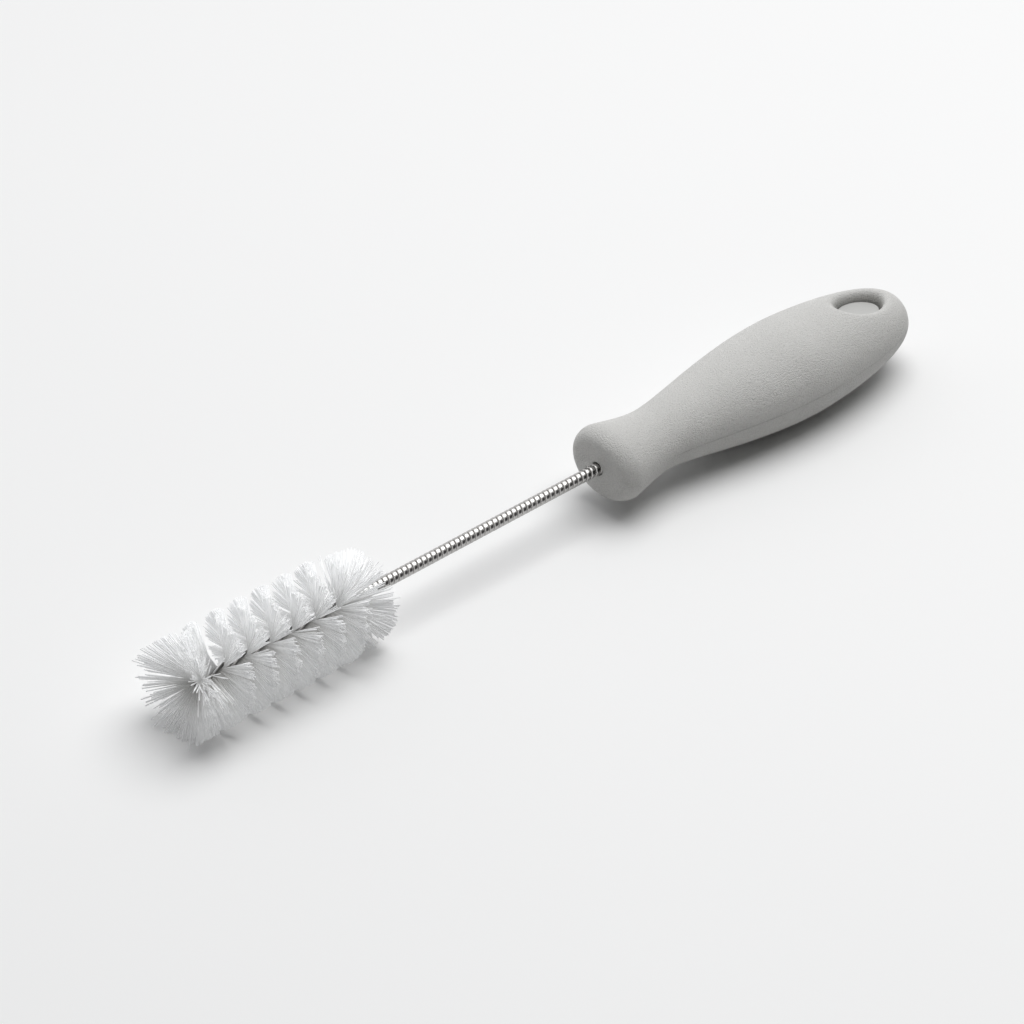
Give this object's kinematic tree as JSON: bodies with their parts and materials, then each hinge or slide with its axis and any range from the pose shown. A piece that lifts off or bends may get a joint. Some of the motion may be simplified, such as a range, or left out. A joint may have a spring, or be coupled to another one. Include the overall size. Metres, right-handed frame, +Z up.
{
  "type": "bottle brush",
  "caption": "Bottle brush with a twisted-in-wire bristle head, a coil-wrapped steel shaft and an oval waisted soft-touch handle, lying at rest.",
  "frame": {"origin": "middle of the brush's footprint on the floor it lies on", "axes": "+X along the brush from the bristle tip to the butt of the handle, +Z up, out of the face with the badge"},
  "size_m": [0.285, 0.036, 0.0313],
  "materials": {
    "soft_grey": "soft-touch, finely pebbled",
    "badge_grey": "smooth satin",
    "bright_steel": "bright drawn flat wire",
    "wire_steel": "drawn wire",
    "white_nylon": "crisp cut filaments"
  },
  "bodies": {
    "root": {"grip": "soft_grey", "badge": "badge_grey", "shaft_coil": "bright_steel", "core_wire": "wire_steel", "bristles": "white_nylon"}
  },
  "joints": []
}
